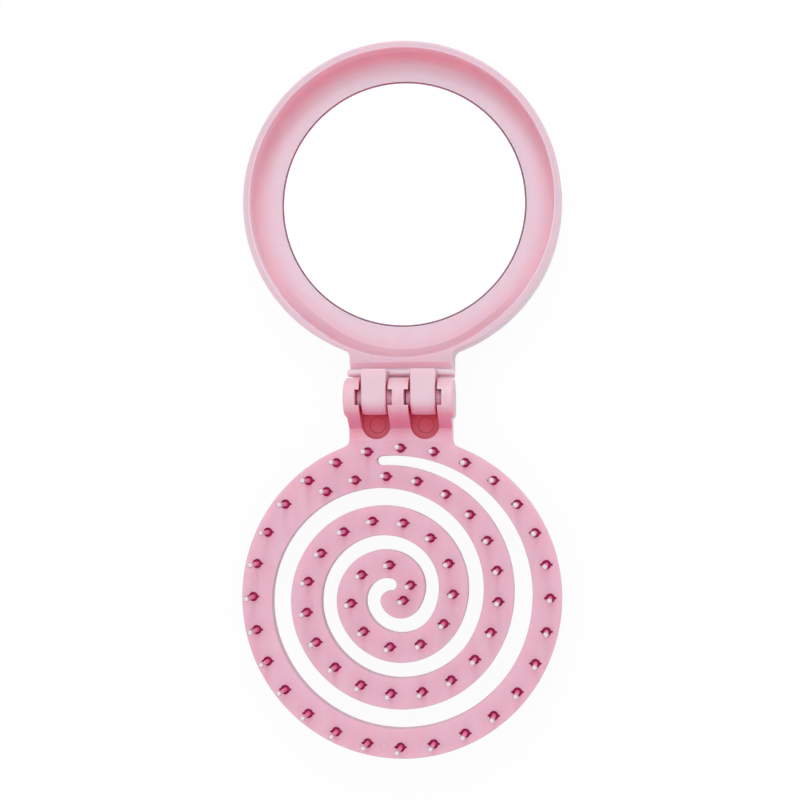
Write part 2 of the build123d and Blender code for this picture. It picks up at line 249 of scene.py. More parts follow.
def skinAndPaintedShadeGroup():
    # moulded plastic: fine grain, streaks along Y in gloss, and painted shade: a deeper colour in hollows and
    # away from the light, painted shadow streaks, and a deeper colour from one place in Y to another
    look = {
        "stretch": (1.0, 0.14, 1.0),
        "streakDetail": 3.0,
        "streakBend": 0.4,
        "grainDetail": 2.0,
        "grainHeight": 0.05,
        "lightFrom": (0.0, 0.75, 0.65),
        "litWhole": 0.8,
        "samples": 6,
    }
    group = newGroup("skinAndPaintedShade", "ShaderNodeTree", (
        ("Vector", "Vector"),
        ("Open Color", "Color"),
        ("Hollow Color", "Color"),
        ("Hollow Reach", "Float", 0.004),
        ("Hollow Strength", "Float", 1.0),
        ("Light Share", "Float", 0.5),
        ("Grain Scale", "Float", 2600.0),
        ("Grain Depth", "Float", 0.05),
        ("Flow Scale", "Float", 260.0),
        ("Color Shift", "Float", 0.1),
        ("Roughness", "Float", 0.4),
        ("Gloss Shift", "Float", 0.12),
        ("Deep From", "Float", -1.0),
        ("Deep To", "Float", -2.0),
        ("Deep Color", "Color"),
    ), (("Color", "Color"), ("Roughness", "Float"), ("Normal", "Vector")))
    given = addNode(group, "NodeGroupInput", (-1100, 0)).outputs
    stretch = addVectorMath(group, "MULTIPLY", (-850, 300), given["Vector"], look["stretch"])
    streakNoise = addNode(group, "ShaderNodeTexNoise", (-650, 300), {
        "Vector": stretch[0],
        "Scale": given["Flow Scale"],
        "Detail": look["streakDetail"],
        "Distortion": look["streakBend"],
    }).outputs["Fac"]
    grain = addNode(group, "ShaderNodeTexNoise", (-650, -150), {
        "Vector": given["Vector"],
        "Scale": given["Grain Scale"],
        "Detail": look["grainDetail"],
    }).outputs["Fac"]
    centred = addMath(group, "SUBTRACT", (-450, 300), streakNoise, 0.5)
    # painted shadow streaks along Y: where the noise is high the colour goes towards the hollow shade colour
    streak = addMath(group, "MULTIPLY", (-450, 450), streakNoise, given["Color Shift"])
    # how open a point is to all sides, and to the side that the light comes from; the less open, the more
    # painted shade
    reach = {"Distance": given["Hollow Reach"]}
    around = addNode(group, "ShaderNodeAmbientOcclusion", (-850, 800), reach, samples=look["samples"])
    toLight = addVectorMath(group, "NORMALIZE", (-1050, 600), look["lightFrom"])
    reach["Normal"] = toLight[0]
    lit = addNode(group, "ShaderNodeAmbientOcclusion", (-850, 600), reach, samples=look["samples"])
    litPart = addMath(group, "DIVIDE", (-650, 600), lit.outputs["AO"], look["litWhole"], clamp=True)
    shares = {0: given["Light Share"], 2: around.outputs["AO"], 3: litPart}
    both = addNode(group, "ShaderNodeMix", (-450, 750), shares, data_type="FLOAT")
    # painted shade mask, from how open the point is
    hollow = addMath(group, "POWER", (-250, 700), both.outputs[0], given["Hollow Strength"])
    openness = addMath(group, "SUBTRACT", (-250, 500), hollow, streak, clamp=True)
    # painted shade: the colour deepens from one place in Y to another
    along = addNode(group, "ShaderNodeSeparateXYZ", (-850, 1000), {0: given["Vector"]})
    deep = addNode(group, "ShaderNodeMapRange", (-650, 1000), {
        "Value": along.outputs["Y"],
        "From Min": given["Deep From"],
        "From Max": given["Deep To"],
    }, interpolation_type="SMOOTHSTEP")
    # painted shade along Y mixed into the open colour
    colors = {0: deep.outputs["Result"], "A": given["Open Color"], "B": given["Deep Color"]}
    body = addNode(group, "ShaderNodeMix", (-350, 950), colors, data_type="RGBA")
    colors = {0: openness, "A": given["Hollow Color"], "B": body.outputs["Result"]}
    # painted shade: the less open, the nearer the colour comes to the hollow shade colour
    tint = addNode(group, "ShaderNodeMix", (-50, 400), colors, data_type="RGBA", clamp_factor=True)
    gloss = addMath(group, "MULTIPLY_ADD", (-250, 100), centred, given["Gloss Shift"], given["Roughness"])
    bump = addNode(group, "ShaderNodeBump", (-50, -150), {
        "Distance": look["grainHeight"] * mm,
        "Strength": given["Grain Depth"],
        "Height": grain,
    })
    addNode(group, "NodeGroupOutput", (250, 100), {
        "Color": tint.outputs["Result"],
        "Roughness": gloss,
        "Normal": bump.outputs[0],
    })
    return group


skinAndPaintedShade = skinAndPaintedShadeGroup()


def mouldMarkGroup():
    # faint ring that a round pin of the mould leaves on a face
    shade = (0.45, 0.25, 0.30, 1)
    group = newGroup("mouldMark", "ShaderNodeTree", (
        ("Vector", "Vector"),
        ("Color", "Color"),
        ("Middle", "Vector"),
        ("Radius", "Float", 0.001),
        ("Width", "Float", 0.0003),
        ("Depth", "Float", 0.2),
    ), (("Color", "Color"),))
    given = addNode(group, "NodeGroupInput", (-1100, 0)).outputs
    away = addVectorMath(group, "SUBTRACT", (-900, 100), given["Vector"], given["Middle"])
    flat = addVectorMath(group, "MULTIPLY", (-750, 100), away[0], (1.0, 1.0, 0.0))
    reach = addVectorMath(group, "LENGTH", (-600, 100), flat[0])
    off = addMath(group, "SUBTRACT", (-450, 100), reach["Value"], given["Radius"])
    ring = addNode(group, "ShaderNodeMapRange", (-150, 100), {
        "Value": addMath(group, "ABSOLUTE", (-300, 100), off),
        "From Max": given["Width"],
        "To Min": 1.0,
        "To Max": 0.0,
    }, interpolation_type="SMOOTHSTEP")
    strength = addMath(group, "MULTIPLY", (50, 100), ring.outputs["Result"], given["Depth"])
    colors = {"Factor": strength, "A": given["Color"], "B": shade}
    mix = addNode(group, "ShaderNodeMix", (250, 0), colors, data_type="RGBA", blend_type="MULTIPLY")
    addNode(group, "NodeGroupOutput", (450, 0), {"Color": mix.outputs["Result"]})
    return group


mouldMark = mouldMarkGroup()


def feedPlastic(tree, surface, look, feeds):
    # light that goes into the plastic comes out again near by, tinted
    feed(tree, surface, {
        "Subsurface Weight": look["glow"],
        "Subsurface Radius": look["glowColor"],
        "Subsurface Scale": look["glowDepth"] * mm,
        "Specular IOR Level": look["shine"],
        **feeds,
    })


def mouldedPlastic(name, look):
    # the look's marks are rings of the mould, each with its x, y, radius and depth
    material, tree, surface = newMaterial(name)
    place = objectPlace(tree)
    skin = addNode(tree, "ShaderNodeGroup", (-500, 0), node_tree=skinAndPaintedShade)
    feed(tree, skin, {**look["skin"], "Vector": place})
    color = skin.outputs["Color"]
    for n, (x, y, radius, depth) in enumerate(look.get("marks", ())):
        mark = addNode(tree, "ShaderNodeGroup", (-250, 300 - 200 * n), node_tree=mouldMark)
        feed(tree, mark, {"Vector": place, "Color": color, "Middle": (x * mm, y * mm, 0)})
        feed(tree, mark, {"Radius": radius * mm, "Depth": depth})
        color = mark.outputs["Color"]
    skinOut = {key: skin.outputs[key] for key in ("Roughness", "Normal")}
    feedPlastic(tree, surface, look, {"Base Color": color, **skinOut})
    return material


pinkLook = {
    "skin": {"Hollow Reach": 6 * mm, "Grain Depth": 0.1, "Roughness": 0.42},
    "glow": 0.9,
    "glowColor": (1.0, 0.22, 0.3),
    "glowDepth": 2.2,
    "shine": 0.4,
}


def pinkPlastic(name, openColor, hollowShadeColor, strength, skin=None, **look):
    # the same clear pink plastic in copies made darker or lighter by where they sit: painted shade and
    # painted light
    finish = {**pinkLook, **look}
    finish["skin"] = {**pinkLook["skin"], **(skin or {}), "Hollow Strength": strength}
    finish["skin"]["Open Color"] = (*openColor, 1)
    finish["skin"]["Hollow Color"] = (*hollowShadeColor, 1)
    return mouldedPlastic(name, finish)


def shadeAlongY(color, start, end):
    # painted shade: the open colour goes over into this one between two places in Y
    return {"Deep Color": (*color, 1), "Deep From": start * mm, "Deep To": end * mm}


# rim: darker copy with painted shade, deepening towards the neck
rimShadeAlongY = shadeAlongY((0.72, 0.555, 0.635), 17, 9.5)
rimShadedPlastic = pinkPlastic("rimShadedPlastic", (0.70, 0.58, 0.655), (0.80, 0.42, 0.52), 0.35, rimShadeAlongY)
# dish and cove: painted shade in the crease at the foot of the wall; the cove's copy also darkens towards the
# neck
dishTint = (0.83, 0.67, 0.75), (0.88, 0.06, 0.18), 1.5
dishSkin = {"Hollow Reach": 4.5 * mm, "Light Share": 0.3}
coveSkin = {**dishSkin, **shadeAlongY((0.69, 0.52, 0.60), 32, 17)}
dishPlastic = pinkPlastic("dishPlastic", *dishTint, dishSkin)
coveShadedPlastic = pinkPlastic("coveShadedPlastic", *dishTint, coveSkin)
# bead: lighter copy, painted light against the shade under the rim
beadLitPlastic = pinkPlastic("beadLitPlastic", (0.76, 0.66, 0.72), (0.86, 0.56, 0.65), 0.3)
# recesses and trunnions: lighter copy, painted light in the shade of the knuckles
recessLitPlastic = pinkPlastic("recessLitPlastic", (0.97, 0.68, 0.78), (0.94, 0.38, 0.50), 0.4)
# neck groove: lighter copy, painted light in its shade
neckLitPlastic = pinkPlastic("neckLitPlastic", (0.87, 0.67, 0.75), (0.88, 0.40, 0.50), 0.4)
# arms: painted shade over the rounded tips past the axis
armShadeAlongY = shadeAlongY((0.86, 0.44, 0.58), -1.2, -4.2)
armShadedPlastic = pinkPlastic("armShadedPlastic", (0.80, 0.64, 0.71), (0.88, 0.16, 0.30), 0.8, armShadeAlongY)
# plate: painted shade in hollows and painted shadow streaks
plateStreaks = {"Color Shift": 0.2, "Flow Scale": 380.0}
platePlastic = pinkPlastic("platePlastic", (0.83, 0.585, 0.695), (0.88, 0.04, 0.16), 0.9, plateStreaks, marks=[
    (-36.7, -45.0, 1.0, 0.14),
    (-4.1, -86.5, 1.0, 0.14),
])
# edges and slot walls: darker copy, painted shade
edgeShadedPlastic = pinkPlastic("edgeShadedPlastic", (0.72, 0.50, 0.60), (0.70, 0.36, 0.48), 0.7, glow=0.5)
# holes: deep dark copy, painted shade inside them
holeShadedPlastic = pinkPlastic("holeShadedPlastic", (0.76, 0.08, 0.26), (0.48, 0.01, 0.11), 1.0, glow=0.4)
# hinge block: painted shade down the slope below the knuckles, and stronger painted shadow streaks
hingeSkin = {**shadeAlongY((0.76, 0.345, 0.48), -2.0, -6.5), "Color Shift": 0.36}
hingeShadedPlastic = pinkPlastic("hingeShadedPlastic", (0.78, 0.66, 0.71), (0.88, 0.10, 0.24), 0.9, hingeSkin)
# pockets: deep dark copy, painted shade
pocketShadedPlastic = pinkPlastic("pocketShadedPlastic", (0.80, 0.29, 0.42), (0.72, 0.01, 0.06), 1.0, glow=0.6, marks=[
    (-6.1, -6.6, 2.0, 0.5),
    (6.1, -6.6, 2.0, 0.5),
])


def bristlePlasticMaterial():
    # clear pink bristles, with painted shade deep where they leave the plate, a painted grey shade round the
    # ball's edge and a painted highlight on its top
    look = {
        "steps": (  # distance below the tip, and colour there
            # deep near the plate: painted shade of the holes
            (10.9, (0.92, 0.08, 0.32, 1)),
            (9.0, (0.90, 0.16, 0.38, 1)),
            (3.8, (0.86, 0.28, 0.45, 1)),
            (1.6, (0.80, 0.34, 0.47, 1)),
            # grey band round the ball's middle: painted shade of its edge
            (0.85, (0.50, 0.29, 0.37, 1)),
            (0.33, (0.50, 0.33, 0.41, 1)),
            # pale top: painted highlight
            (0.14, (0.84, 0.70, 0.77, 1)),
        ),
        "cloud": 0.01,
        "cloudScale": 900.0,
        "roughness": 0.32,
        "shine": 0.15,
        "glow": 0.3,
        "glowColor": (1.0, 0.4, 0.5),
        "glowDepth": 0.4,
    }
    material, tree, surface = newMaterial("bristlePlastic")
    place = objectPlace(tree)
    split = addNode(tree, "ShaderNodeSeparateXYZ", (-1100, 0), {0: place})
    cloud = addNode(tree, "ShaderNodeTexNoise", (-1100, -200), {"Scale": look["cloudScale"], "Vector": place})
    heights = [ringHigh.z - below for below, color in look["steps"]]
    low, high = heights[0], heights[-1]
    rise = addNode(tree, "ShaderNodeMapRange", (-900, 0), {
        "Value": split.outputs["Z"],
        "From Min": low * mm,
        "From Max": high * mm,
    }).outputs["Result"]
    uneven = addMath(tree, "MULTIPLY_ADD", (-700, 0), cloud.outputs["Fac"], look["cloud"], rise)
    ramp = addNode(tree, "ShaderNodeValToRGB", (-500, 0), {"Fac": uneven})
    elements = ramp.color_ramp.elements
    elements[0].color, elements[1].color = look["steps"][0][1], look["steps"][-1][1]
    for height, (below, color) in list(zip(heights, look["steps"]))[1:-1]:
        elements.new((height - low) / (high - low)).color = color
    color = ramp.outputs["Color"]
    feedPlastic(tree, surface, look, {"Base Color": color, "Roughness": look["roughness"]})
    return material


bristlePlastic = bristlePlasticMaterial()


def mirrorSilver():
    # silvered glass, with the faint haze of a finger-wiped face
    look = {
        "color": (0.93, 0.94, 0.95, 1),
        "roughness": 0.02,
        "haze": 0.05,
        "hazeScale": 40.0,
        "hazeDetail": 5.0,
        "clearBelow": 0.45,
        "hazyAbove": 0.8,
    }
    material, tree, surface = newMaterial("mirrorSilver")
    haze = addNode(tree, "ShaderNodeTexNoise", (-700, 0), {
        "Vector": objectPlace(tree),
        "Scale": look["hazeScale"],
        "Detail": look["hazeDetail"],
    })
    spread = addNode(tree, "ShaderNodeMapRange", (-400, 0), {
        "Value": haze.outputs["Fac"],
        "From Min": look["clearBelow"],
        "From Max": look["hazyAbove"],
        "To Min": look["roughness"],
        "To Max": look["roughness"] + look["haze"],
    })
    feed(tree, surface, {"Roughness": spread.outputs["Result"], "Base Color": look["color"], "Metallic": 1.0})
    return material


def mirrorEdge():
    # ground edge of the glass, backed by dark protective paint
    look = {"dark": (0.42, 0.22, 0.29, 1), "pale": (0.58, 0.38, 0.45, 1), "scale": 900.0, "roughness": 0.35}
    material, tree, surface = newMaterial("mirrorEdge")
    place = objectPlace(tree)
    chips = addNode(tree, "ShaderNodeTexNoise", (-700, 0), {"Vector": place, "Scale": look["scale"]})
    colors = {"Factor": chips.outputs["Fac"], "A": look["dark"], "B": look["pale"]}
    mix = addNode(tree, "ShaderNodeMix", (-400, 0), colors, data_type="RGBA")
    feed(tree, surface, {"Base Color": mix.outputs["Result"], "Roughness": look["roughness"]})
    return material


tapeFoam = mouldedPlastic("tapeFoam", {
    "skin": {
        "Open Color": (0.82, 0.81, 0.78, 1),
        # painted shade in the tape's hollows
        "Hollow Color": (0.60, 0.59, 0.56, 1),
        "Hollow Reach": 1 * mm,
        "Grain Scale": 3000.0,
        "Grain Depth": 0.4,
        "Roughness": 0.8,
    },
    "glow": 0.0,
    "glowColor": (1.0, 1.0, 1.0),
    "glowDepth": 0.1,
    "shine": 0.2,
})
print("stage: materials")

# lid
lid = {
    "rimWall": 1.75,
    "rimRound": 0.45,
    "rimInnerRound": 0.3,
    "backRound": 1.7,
    "wallDraft": 0.15,
    "coveRun": 3.7,
    "coveDrop": 2.2,
    "ledge": 3.8,
    "floor": 1.6,
    "seatGap": 0.15,
    "seatRound": 0.15,
    "rim": 10.6,
    "reliefShift": 5.0,
    "reliefReach": 1.0,
    "neckHalf": 12.9,
    "neckEnd": 5.4,
    "neckCorner": 2.0,
    "neckEndRound": 0.5,
    "slopeStart": 9.0,
    "slopeEnd": 7.5,
    "slopeDrop": 1.4,
    "sideSteps": 14,
    "endSteps": 30,
    "edgeSteps": 6,
    "rimStrips": 16,
    "rimSteps": 5,
    "wallSteps": 3,
    "coveSteps": 12,
    "paleSteps": 3,  # of the cove, at its foot, as pale as the ledge
    "seatSteps": 3,
    "cornerSteps": 4,
    "sharpAngle": 40,
}
lidPlastics = {"shell": rimShadedPlastic, "dish": dishPlastic, "neck": neckLitPlastic, "cove": coveShadedPlastic}
lidZone = {name: n for n, name in enumerate(lidPlastics)}


def discAndCorners(radius, neckHalf, cornerRound, cornerSteps=12, halfSteps=150):
    # open outline of a disc, from where its neck begins on the right round to the left; neck to -Y
    cornerY = -sqrt((radius + cornerRound) ** 2 - (neckHalf + cornerRound) ** 2)
    meet = degrees(atan2(cornerY, neckHalf + cornerRound))
    corner = arc((neckHalf + cornerRound, cornerY), cornerRound, 180, meet + 180, cornerSteps)
    half = corner + arc((0, 0), radius, meet, 90, halfSteps)[1:]
    return half + [Vector((-p.x, p.y)) for p in half[-2::-1]]


def lidOutline():
    half, end, turn = lid["neckHalf"], lid["neckEnd"] - lidMiddle.y, lid["neckEndRound"]
    sideSteps, endSteps = lid["sideSteps"], lid["endSteps"]
    disc = discAndCorners(discRadius, half, lid["neckCorner"])
    # the corner stands in for the last steps of the end and the first of the side
    side = [Vector((half, end + (disc[0].y - end) * n / sideSteps)) for n in range(2, sideSteps)]
    corner = arc((half - turn, end + turn), turn, -90, 0, lid["cornerSteps"])
    right = [Vector((n * half / endSteps, end)) for n in range(1, endSteps - 2)] + corner + side
    return [Vector((0, end))] + right + disc + [Vector((-p.x, p.y)) for p in right[::-1]]


def dishPoint(direction, inset):
    # where a ray from the lid's middle meets the wall of the dish, which reaches out at the hinge
    plainRadius = discRadius - lid["rimWall"] - inset
    reliefRadius = plainRadius + lid["reliefReach"] - lid["reliefShift"]
    shift = Vector((0, -lid["reliefShift"]))
    along = direction.dot(shift)
    reach = along + sqrt(max(0.0, along ** 2 - shift.length_squared + reliefRadius ** 2))
    return direction * max(plainRadius, reach)


def dishSteps():
    # insets and heights of the wall of the dish, from the edge of the rim down to the ledge
    turn, draft, run, drop = lid["rimInnerRound"], lid["wallDraft"], lid["coveRun"], lid["coveDrop"]
    wallTop, coveTop = lid["rim"] - turn, lid["ledge"] + drop
    steps = []
    for a in quarterTurn(lid["rimSteps"])[1:]:
        steps.append((turn * (sin(a) - 1), lid["rim"] - turn * (1 - cos(a))))
    for n in range(1, lid["wallSteps"] + 1):
        share = n / lid["wallSteps"]
        steps.append((draft * share, wallTop - (wallTop - coveTop) * share))
    for a in quarterTurn(lid["coveSteps"])[1:]:
        steps.append((draft + run * (1 - cos(a)), coveTop - drop * sin(a)))
    return steps


def squareCorners(wall, wallSteps, outline):
    # where the wall draws in by more than its corner radius, the neck's corners stay square
    half = lid["neckHalf"]
    for loop, (inset, height) in zip(wall, wallSteps):
        for v, p in zip(loop, outline):
            if abs(p.x) < half + tiny and p.y < 0:
                v.co.x = max(inset - half, min(half - inset, v.co.x / mm)) * mm
                v.co.y = max(lid["neckEnd"] + inset, v.co.y / mm) * mm


def slopeNeck(bm):
    # the neck slopes down to the step that the bead lies on
    start, end, drop = lid["slopeStart"], lid["slopeEnd"], lid["slopeDrop"]
    for y in (start, end):
        cutAcross(bm, y)
    for face in bm.faces:
        place = face.calc_center_median() / mm
        # faces of the sloped neck take the copy painted lighter
        if place.y < start and place.z > lid["rim"] - drop:
            face.material_index = lidZone["neck"]
    for v in bm.verts:
        y = v.co.y / mm
        if y < start and v.co.z / mm > lid["rim"] - 2 * drop:
            v.co.z -= min(1.0, (start - y) / (start - end)) * drop * mm


def lidShell():
    bm = bmesh.new()
    outline = lidOutline()
    rays = [p.normalized() for p in outline]
    wallSteps = roundSteps(0, lid["rim"], lid["backRound"], lid["rimRound"], lid["edgeSteps"])
    wall = addWall(bm, outline, wallSteps, middle=lidMiddle)
    squareCorners(wall, wallSteps, outline)
    middle = bm.verts.new(lidMiddle * mm)
    for n in range(len(outline)):
        bm.faces.new((wall[0][n - 1], wall[0][n], middle))
    # loops from the outer edge of the rim inwards, down the dish and into the mirror's seat
    strips = lid["rimStrips"]
    inside = [dishPoint(ray, -lid["rimInnerRound"]) for ray in rays]
    outside = [(v.co / mm - lidMiddle).to_2d() for v in wall[-1]]
    loops = [wall[-1]]
    for n in range(1, strips + 1):
        across = [a.lerp(b, n / strips) for a, b in zip(outside, inside)]
        loops.append(addLoop(bm, across, lid["rim"], lidMiddle))
    for inset, height in dishSteps():
        loops.append(addLoop(bm, [dishPoint(ray, inset) for ray in rays], height, lidMiddle))
    coveFoot = len(loops) - 1 - lid["paleSteps"]
    turn = lid["seatRound"]
    seat = [(turn * (1 - sin(a)), lid["ledge"] - turn * (1 - cos(a))) for a in quarterTurn(lid["seatSteps"])]
    for inset, height in seat + [(0, lid["floor"])]:
        ring = [ray * (glassHigh.x + lid["seatGap"] + inset) for ray in rays]
        loops.append(addLoop(bm, ring, height, lidMiddle))
    done = set()
    # each zone takes its own copy of the plastic, with its own painted shade
    zones = (("shell", 0, strips), ("cove", strips, coveFoot), ("dish", coveFoot, len(loops)))
    for zone, first, last in zones:
        for lower, upper in zip(loops[first:last], loops[first + 1:]):
            joinLoops(bm, lower, upper)
        if zone == "dish":
            fillBetween(bm, [loops[-1]])
        for face in set(bm.faces) - done:
            face.material_index = lidZone[zone]
        done = set(bm.faces)
    slopeNeck(bm)
    return bm


lidMesh = meshOf("lidShell", lidShell())
lidLooks = lidPlastics.values()
makePiece("lidShell", lidMesh, lidLooks, "lid", ["lid_frame"], lid["sharpAngle"])

hinge = {
    "beadRadius": 0.95,
    "beadHalf": 13.5,
    "beadBelowRim": 0.3,
    "beadRound": 0.5,  # share of its radius
    "beadSegments": 28,
    "armPlaces": (-6.1, 6.1),
    "armWidth": 6.2,
    "armRadius": 4.2,
    "armBack": 7.0,
    "armFoot": 5.5,
    "armHeel": 0.4,
    "armRound": 0.45,
    "trunnionRadius": 2.15,
    "trunnionLength": 1.3,
    "trunnionRound": 0.2,
    "segments": 40,
    "pocketHalf": 3.62,
    "bearingHalf": 4.8,
    "bearingReach": 2.1,
    "knuckleStart": -2.0,
    "slopeFoot": -7.55,
    "footRun": 1.5,
    "footRise": 0.1,
    "blockRound": 0.3,
    "roundSteps": 3,
    "sharpAngle": 35,
    "flatAngle": 1,
    "looseWeld": 0.002,
    "steepBelow": 0.5,  # share of a face's direction that is up or down
    "uprightBelow": 0.1,
    "sidewaysAbove": 0.98,  # share that is along X
}


def neckBead():
    bm = bmesh.new()
    radius, half = hinge["beadRadius"], hinge["beadHalf"]
    centre = (lid["neckEnd"] + radius, lid["rim"] - hinge["beadBelowRim"] - radius)
    section = circle(radius, hinge["beadSegments"], centre)
    addSlab(bm, [section], -half, half, hinge["beadRound"] * radius, alongX)
    return bm


def lidArms():
    bm = bmesh.new()
    axis, back, foot = hingeAxis.z, hinge["armBack"], hinge["armFoot"]
    profile = arc((0, axis), hinge["armRadius"], 90, 270, hinge["segments"])
    corners = ((lid["neckEnd"] - hinge["armHeel"], foot), (back, foot), (back, axis + hinge["armRadius"]))
    profile += [Vector(corner) for corner in corners]
    pin = circle(hinge["trunnionRadius"], hinge["segments"], (0, axis))
    half = hinge["armWidth"] / 2
    reach = half + hinge["trunnionLength"]
    for x in hinge["armPlaces"]:
        addSlab(bm, [profile], x - half, x + half, hinge["armRound"], alongX)
        armFaces = set(bm.faces)
        addSlab(bm, [pin], x - reach, x + reach, hinge["trunnionRound"], alongX)
        # the trunnions take the copy painted lighter
        for face in set(bm.faces) - armFaces:
            face.material_index = 1
    return bm


makePiece("neckBead", meshOf("neckBead", neckBead()), [beadLitPlastic], "lid")
makePiece("lidArms", meshOf("lidArms", lidArms()), [armShadedPlastic, recessLitPlastic], "lid")
print("stage: lid, bead and arms")

# mirror
mirror = {"edgeRound": 0.12, "edgeLine": 0.3, "segments": 180}


def mirrorPane():
    bm = bmesh.new()
    radius, count = glassHigh.x, mirror["segments"]
    steps = roundSteps(glassLow.z, glassHigh.z, mirror["edgeRound"], mirror["edgeRound"])
    wall = addWall(bm, circle(radius, count), steps, middle=lidMiddle)
    line = addLoop(bm, circle(radius - mirror["edgeLine"], count), glassHigh.z, lidMiddle)
    joinLoops(bm, wall[-1], line)
    for face in bm.faces:
        face.material_index = 1
    fillBetween(bm, [wall[0]])
    fillBetween(bm, [line])
    return bm


pane = meshOf("mirrorPane", mirrorPane())
makePiece("mirrorPane", pane, [mirrorSilver(), mirrorEdge()], "lid", ["mirror_glass"])
tape = frame["nodes"]["mirror_adhesive"]
tape.data.materials.clear()
tape.data.materials.append(tapeFoam)
print("stage: mirror")

# spiral of the brush plate
spiral = {
    "outerRadii": [37.5, 32.55, 20.05, 8.85, -3.8],
    "innerRadii": [37.0, 27.8, 16.25, 5.25, -12.6],
    "holdEnds": 200.0,
    "drawIn": 230.0,
    "startTurn": 101.8,
    "outerEndTurn": 1162.0,
    "innerEndTurn": 1130.0,
    "endBulge": (-1.03, 3.2),
    "step": 3.0,
    "startCapSteps": 8,
    "endCapSteps": 16,
}


def edgeRadius(radii, turn):
    whole = min(int(turn // 360), len(radii) - 2)
    here = min(turn - 360 * whole, spiral["drawIn"])
    left = (1 + cos(pi * here / spiral["drawIn"])) / 2
    return radii[whole + 1] + (radii[whole] - radii[whole + 1]) * left


def onDisc(radius, turn):
    angle = radians(spiral["holdEnds"] - turn)
    return Vector((radius * cos(angle), radius * sin(angle)))


def arcThrough(a, b, c, count):
    # points on the circle through three, from a to c, ends left out
    d = 2 * (a.x * (b.y - c.y) + b.x * (c.y - a.y) + c.x * (a.y - b.y))
    x = (a.length_squared * (b.y - c.y) + b.length_squared * (c.y - a.y) + c.length_squared * (a.y - b.y)) / d
    y = (a.length_squared * (c.x - b.x) + b.length_squared * (a.x - c.x) + c.length_squared * (b.x - a.x)) / d
    middle = Vector((x, y))
    first, last = [atan2((p - middle).y, (p - middle).x) for p in (a, c)]
    through = atan2((b - middle).y, (b - middle).x)
    turn = (last - first) % (2 * pi)
    if (through - first) % (2 * pi) > turn:
        turn -= 2 * pi
    radius = (a - middle).length
    angles = [first + turn * n / count for n in range(1, count)]
    return [middle + Vector((radius * cos(t), radius * sin(t))) for t in angles]


def slotOutline(margin):
    start = spiral["startTurn"]

    def edge(radii, last, out):
        count = round((last - start) / spiral["step"])
        turns = [start + (last - start) * n / count for n in range(count + 1)]
        return [onDisc(edgeRadius(radii, t) + out, t) for t in turns]

    outer = edge(spiral["outerRadii"], spiral["outerEndTurn"], margin)
    inner = edge(spiral["innerRadii"], spiral["innerEndTurn"], -margin)
    centreRadius = (outer[0].length + inner[0].length) / 2
    halfWidth = (outer[0].length - inner[0].length) / 2
    startCap = onDisc(centreRadius, start - degrees(halfWidth / centreRadius))
    endCap = Vector((spiral["endBulge"][0] + margin, spiral["endBulge"][1]))
    endArc = arcThrough(outer[-1], endCap, inner[-1], spiral["endCapSteps"])
    startArc = arcThrough(inner[0], startCap, outer[0], spiral["startCapSteps"])
    return outer + endArc + inner[::-1] + startArc


# places of the bristles
bristles = {
    "ringRadius": 37.1,
    "ringCount": 28,
    "spiralCount": 35,
    "pitch": 7.75,
    "firstTurn": 74.7,
    "walkStep": 0.25,
    "rootRadius": 0.56,
    "neckRadius": 0.42,
    "ballRadius": 0.74,
    "headRadius": 1.3,
    "headHeight": 0.85,
    "sides": 16,
    "rings": 44,
    "lean": 0.6,
    "seed": 5,
    "tipWeld": 0.002,
    "sharpAngle": 60,
}


def bristlePath(turn):
    inner = edgeRadius(spiral["innerRadii"], turn)
    outer = edgeRadius(spiral["outerRadii"], turn + 360)
    return onDisc((inner + outer) / 2, turn)


def spiralPlaces():
    turn, walked, places = bristles["firstTurn"], 0.0, [bristlePath(bristles["firstTurn"])]
    while len(places) < bristles["spiralCount"]:
        here, turn = bristlePath(turn), turn + bristles["walkStep"]
        walked += (bristlePath(turn) - here).length
        if walked >= bristles["pitch"]:
            places.append(bristlePath(turn))
            walked = 0.0
    return places


ringHoles = circle(bristles["ringRadius"], bristles["ringCount"], start=pi / 2)
spiralHoles = spiralPlaces()

# brush plate
plate = {
    "top": 10.6,
    "underside": 9.1,
    "edgeRound": 0.3,
    "footRound": 0.15,
    "slotRound": 0.22,
    "holeRound": 0.06,
    "holeFootRound": 0.02,
    "skirt": 0.7,
    "hollowSegments": 300,
    "coverGap": 0.1,
    "coverRound": 0.12,
    "coverSegments": 200,
    "holeRadius": 1.13,
    "notchReach": 0.36,
    "notchWidth": 0.44,
    "holeSegments": 14,
    "holeRoundSteps": 3,
    "seam": -10.9,
    "seamGap": 0.02,
    "sharpAngle": 40,
}
platePlastics = {
    "plate": platePlastic,
    "edge": edgeShadedPlastic,
    "hole": holeShadedPlastic,
    "hinge": hingeShadedPlastic,
    "pocket": pocketShadedPlastic,
    "recess": recessLitPlastic,
}
plateZone = {name: n for n, name in enumerate(platePlastics)}


def notchedHole(middle):
    # round hole with a small square notch on its left and right
    half = plate["notchWidth"] / 2
    reach = plate["holeRadius"] + plate["notchReach"]
    start = degrees(asin(half / plate["holeRadius"]))
    upper = arc((0, 0), plate["holeRadius"], start, 180 - start, plate["holeSegments"])
    right = [Vector((reach, -half)), Vector((reach, half))]
    points = right + upper + [-p for p in right] + [-p for p in upper]
    return [middle + p for p in points]


def cutAt(points, limit):
    # the part of an open outline that lies below the limit in Y, with its two ends on the limit
    inside = [n for n, p in enumerate(points) if p.y < limit - tiny]
    first, last = inside[0], inside[-1]
    ends = []
    for a, b in ((points[first - 1], points[first]), (points[last + 1], points[last])):
        ends.append(a.lerp(b, (limit - a.y) / (b.y - a.y)))
    return [ends[0]] + points[first:last + 1] + [ends[1]]


